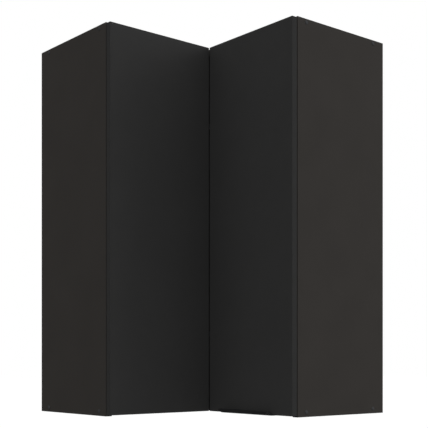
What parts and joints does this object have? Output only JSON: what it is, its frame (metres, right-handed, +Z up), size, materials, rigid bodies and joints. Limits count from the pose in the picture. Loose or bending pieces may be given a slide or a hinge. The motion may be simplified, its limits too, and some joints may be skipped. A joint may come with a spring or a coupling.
{
  "type": "corner wall cabinet",
  "caption": "L-shaped corner wall cabinet with a folding pair of flush doors on wide-angle and corner hinges, an edge grip under one door, L-shaped shelves and wall hangers.",
  "frame": {"origin": "foot of the line where the two room walls meet, level with the lower ends of the side panels", "axes": "+Z up; the left leg runs along the wall y = 0 towards -X, the right leg along the wall x = 0 towards -Y"},
  "size_m": [0.6026, 0.6026, 0.9],
  "materials": {
    "carcass_board": "dark grey-brown melamine faced chipboard, satin",
    "door_board": "matt dark grey lacquered board",
    "hardboard": "dark foil on hardboard",
    "steel": "nickel plated pressed steel",
    "link_steel": "blued pressed steel",
    "grip_metal": "dark anodised, satin",
    "cap_plastic": "grey moulded plastic",
    "hanger_plastic": "light grey moulded plastic"
  },
  "bodies": {
    "carcass": {"bottom_panel": "carcass_board", "corner_stile": "carcass_board", "left_back": "hardboard", "left_cap_bottom_front": "cap_plastic", "left_cap_bottom_rear": "cap_plastic", "left_cap_top_front": "cap_plastic", "left_cap_top_rear": "cap_plastic", "left_hanger_hook": "steel", "left_hanger_housing": "hanger_plastic", "left_side_panel": "carcass_board", "main_hinge_1_arm": "steel", "main_hinge_1_plate": "steel", "main_hinge_2_arm": "steel", "main_hinge_2_plate": "steel", "main_hinge_3_arm": "steel", "main_hinge_3_plate": "steel", "right_back": "hardboard", "right_cap_bottom_front": "cap_plastic", "right_cap_bottom_rear": "cap_plastic", "right_cap_top_front": "cap_plastic", "right_cap_top_rear": "cap_plastic", "right_hanger_hook": "steel", "right_hanger_housing": "hanger_plastic", "right_side_panel": "carcass_board", "shelf_1": "carcass_board", "shelf_1_support_corner": "steel", "shelf_1_support_left_front": "steel", "shelf_1_support_left_rear": "steel", "shelf_1_support_right_front": "steel", "shelf_1_support_right_rear": "steel", "shelf_2": "carcass_board", "shelf_2_support_corner": "steel", "shelf_2_support_left_front": "steel", "shelf_2_support_left_rear": "steel", "shelf_2_support_right_front": "steel", "shelf_2_support_right_rear": "steel", "top_panel": "carcass_board"},
    "left_door": {"corner_hinge_1_arm": "steel", "corner_hinge_1_plate": "steel", "corner_hinge_2_arm": "steel", "corner_hinge_2_plate": "steel", "left_door": "door_board", "main_hinge_1_cup": "steel", "main_hinge_2_cup": "steel", "main_hinge_3_cup": "steel"},
    "right_door": {"corner_hinge_1_cup": "steel", "corner_hinge_2_cup": "steel", "edge_grip": "grip_metal", "right_door": "door_board"},
    "main_inner_links": {"main_hinge_1_inner_link": "link_steel", "main_hinge_2_inner_link": "link_steel", "main_hinge_3_inner_link": "link_steel"},
    "main_outer_links": {"main_hinge_1_outer_link": "link_steel", "main_hinge_2_outer_link": "link_steel", "main_hinge_3_outer_link": "link_steel"},
    "corner_inner_links": {"corner_hinge_1_inner_link": "link_steel", "corner_hinge_2_inner_link": "link_steel"},
    "corner_outer_links": {"corner_hinge_1_outer_link": "link_steel", "corner_hinge_2_outer_link": "link_steel"}
  },
  "joints": [
    {"name": "main_swing", "type": "hinge", "parent": "carcass", "child": "left_door", "pos_m": [-0.6, -0.31, 0.45], "axis": [0, 0, -1], "range_deg": [0, 155]},
    {"name": "main_inner_link_turn", "type": "hinge", "parent": "carcass", "child": "main_inner_links", "pos_m": [-0.576, -0.2905, 0.45], "axis": [0, 0, -1], "range_deg": [0, 155]},
    {"name": "main_outer_link_turn", "type": "hinge", "parent": "main_inner_links", "child": "main_outer_links", "pos_m": [-0.562, -0.277, 0.45], "axis": [0, 0, -1], "range_deg": [-155, 0]},
    {"name": "fold", "type": "hinge", "parent": "left_door", "child": "right_door", "pos_m": [-0.3095, -0.3095, 0.45], "axis": [0, 0, 1], "range_deg": [0, 77.5]},
    {"name": "corner_inner_link_turn", "type": "hinge", "parent": "left_door", "child": "corner_inner_links", "pos_m": [-0.311, -0.283, 0.45], "axis": [0, 0, 1], "range_deg": [0, 77.5]},
    {"name": "corner_outer_link_turn", "type": "hinge", "parent": "corner_inner_links", "child": "corner_outer_links", "pos_m": [-0.298, -0.2985, 0.45], "axis": [0, 0, 1], "range_deg": [-77.5, 0]}
  ],
  "couplings": [
    {"joint": "main_inner_link_turn", "follows": "main_swing", "ratio": 1},
    {"joint": "main_outer_link_turn", "follows": "main_swing", "ratio": -1},
    {"joint": "fold", "follows": "main_swing", "ratio": 0.5},
    {"joint": "corner_inner_link_turn", "follows": "main_swing", "ratio": 0.5},
    {"joint": "corner_outer_link_turn", "follows": "main_swing", "ratio": -0.5}
  ]
}
